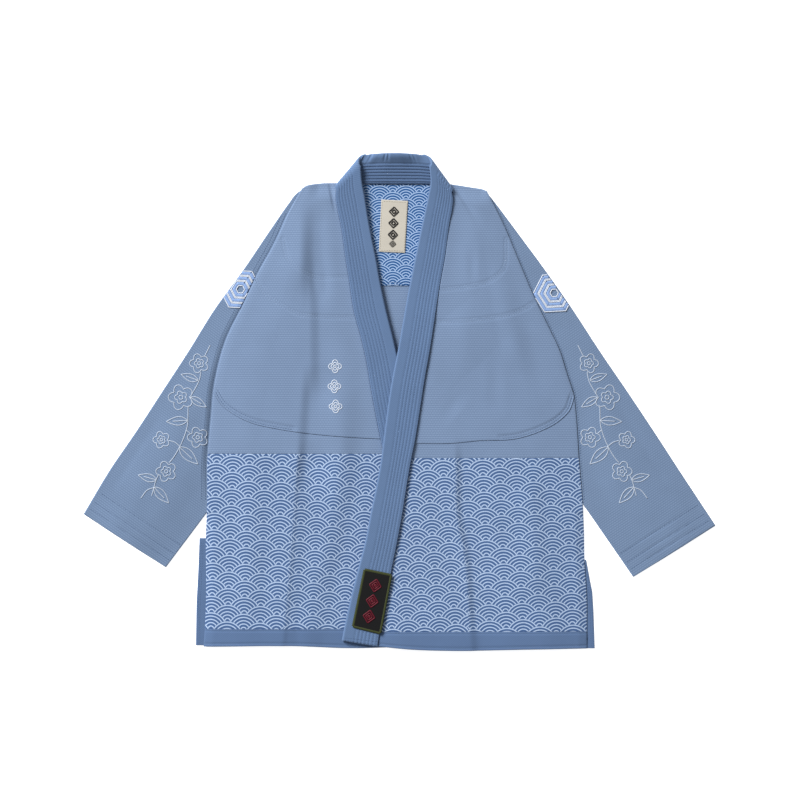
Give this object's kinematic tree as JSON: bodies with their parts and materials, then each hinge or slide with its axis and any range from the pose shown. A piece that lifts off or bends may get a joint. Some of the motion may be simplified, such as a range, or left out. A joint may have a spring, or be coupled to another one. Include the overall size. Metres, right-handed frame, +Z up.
{
  "type": "jiu-jitsu gi jacket",
  "caption": "Wrap-front martial arts jacket in heavy cotton, laid flat with the left front over the right, with a ribbed lapel band and a wave-print skirt.",
  "frame": {"origin": "middle of the jacket's outline, on the surface that it lies on", "axes": "+X across the jacket from the wearer's right cuff to the left one, +Y from the hem to the collar, +Z up from the surface"},
  "size_m": [1.042, 0.8218, 0.0163],
  "materials": {
    "pearl_weave": "heavy cotton pearl weave, steel blue, matt",
    "wave_print": "cotton with a pale blue overlapping-wave print on mid blue, matt",
    "plain_twill": "plain mid-blue cotton twill, stitched, matt",
    "yoke_print": "bright blue lining cloth with a pale wave print",
    "label_cloth": "natural woven label cloth",
    "patch_cloth": "black woven patch with a merrowed border"
  },
  "bodies": {
    "root": {"back_body": "pearl_weave", "back_skirt": "wave_print", "back_hem": "plain_twill", "vent_facing_right": "plain_twill", "vent_facing_left": "plain_twill", "yoke_lining": "yoke_print", "neck_label": "label_cloth", "sleeve_right": "pearl_weave", "sleeve_left": "pearl_weave", "front_right_chest": "pearl_weave", "front_right_waist": "pearl_weave", "front_right_skirt": "wave_print", "front_right_hem": "plain_twill", "front_left_chest": "pearl_weave", "front_left_waist": "pearl_weave", "front_left_skirt": "wave_print", "front_left_hem": "plain_twill", "lapel": "plain_twill", "lapel_patch": "patch_cloth"}
  },
  "joints": []
}
